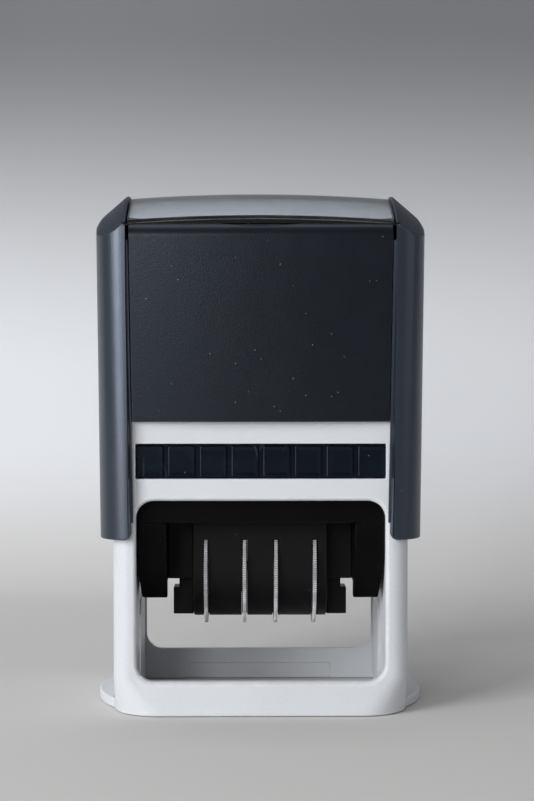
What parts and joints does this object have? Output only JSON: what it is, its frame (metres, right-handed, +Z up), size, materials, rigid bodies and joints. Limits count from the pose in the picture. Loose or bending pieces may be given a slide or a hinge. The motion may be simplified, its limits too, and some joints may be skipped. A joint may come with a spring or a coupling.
{
  "type": "self-inking date stamp",
  "caption": "Self-inking date stamp: a white frame, a dark sprung cap and a turning holder with rubber date bands set by thin wheels, inked from a slide-in pad.",
  "frame": {"origin": "on the plane that the stamp stands on, under the middle of the frame", "axes": "+Z up, front face to -Y, +X to the right seen from the front"},
  "size_m": [0.076, 0.0552, 0.1191],
  "materials": {
    "white_plastic": "satin moulded",
    "pad_rubber": "matte",
    "steel": "drawn wire",
    "dark_plastic": "fine satin grain",
    "wing_plastic": "fine satin grain",
    "black_plastic": "satin moulded",
    "button_plastic": "satin moulded",
    "gloss_black_plastic": "gloss",
    "silver_card": "silver coated",
    "clear_plastic": "clear moulded",
    "pad_foam": "inked foam",
    "die_rubber": "laser-cut rubber",
    "band_rubber": "moulded rubber",
    "wheel_plastic": "knurled"
  },
  "bodies": {
    "frame": {"base_frame": "white_plastic", "foot_pad_1": "pad_rubber", "foot_pad_2": "pad_rubber", "foot_pad_3": "pad_rubber", "foot_pad_4": "pad_rubber", "return_spring": "steel"},
    "cap": {"cap_shell": "dark_plastic", "left_wing": "wing_plastic", "right_wing": "wing_plastic", "yoke": "black_plastic", "index_card": "silver_card"},
    "index_cover": {"index_window": "clear_plastic"},
    "lock_left": {"lock_button_left": "button_plastic"},
    "lock_right": {"lock_button_right": "button_plastic"},
    "cartridge": {"ink_cartridge": "gloss_black_plastic", "ink_pad": "pad_foam"},
    "holder": {"plate_holder": "black_plastic", "pivot_pin_left": "steel", "pivot_pin_right": "steel", "text_plate": "black_plastic", "rubber_die": "die_rubber", "drum_cover": "black_plastic", "left_side_plate": "black_plastic", "right_side_plate": "black_plastic", "band_axle": "steel", "band_platen": "black_plastic", "date_band_1": "band_rubber", "date_band_2": "band_rubber", "date_band_3": "band_rubber", "date_band_4": "band_rubber"},
    "wheel_1": {"date_wheel_1": "wheel_plastic"},
    "wheel_2": {"date_wheel_2": "wheel_plastic"},
    "wheel_3": {"date_wheel_3": "wheel_plastic"},
    "wheel_4": {"date_wheel_4": "wheel_plastic"}
  },
  "joints": [
    {"name": "cap_slide", "type": "slide", "parent": "frame", "child": "cap", "axis": [0, 0, -1], "range_m": [0, 0.0366], "stiffness_N_per_m": 250, "springref_m": -0.02, "deforming": ["return_spring"]},
    {"name": "holder_flip", "type": "hinge", "parent": "cap", "child": "holder", "pos_m": [0, 0, 0.0438], "axis": [-1, 0, 0], "range_deg": [0, 180]},
    {"name": "cartridge_slide", "type": "slide", "parent": "frame", "child": "cartridge", "axis": [0, -1, 0], "range_m": [0, 0.058]},
    {"name": "lock_left_press", "type": "slide", "parent": "cap", "child": "lock_left", "axis": [1, 0, 0], "range_m": [0, 0.0014], "stiffness_N_per_m": 400, "springref_m": -0.001},
    {"name": "lock_right_press", "type": "slide", "parent": "cap", "child": "lock_right", "axis": [-1, 0, 0], "range_m": [0, 0.0014], "stiffness_N_per_m": 400, "springref_m": -0.001},
    {"name": "index_lift", "type": "slide", "parent": "cap", "child": "index_cover", "axis": [0, 0, 1], "range_m": [0, 0.015]},
    {"name": "wheel_1_turn", "type": "hinge", "parent": "holder", "child": "wheel_1", "pos_m": [-0.01265, 0, 0.031], "axis": [1, 0, 0], "continuous": true},
    {"name": "wheel_2_turn", "type": "hinge", "parent": "holder", "child": "wheel_2", "pos_m": [-0.00365, 0, 0.031], "axis": [1, 0, 0], "continuous": true},
    {"name": "wheel_3_turn", "type": "hinge", "parent": "holder", "child": "wheel_3", "pos_m": [0.00365, 0, 0.031], "axis": [1, 0, 0], "continuous": true},
    {"name": "wheel_4_turn", "type": "hinge", "parent": "holder", "child": "wheel_4", "pos_m": [0.01265, 0, 0.031], "axis": [1, 0, 0], "continuous": true}
  ],
  "couplings": [
    {"joint": "holder_flip", "follows": "cap_slide", "rad_per_m": 85.836}
  ]
}
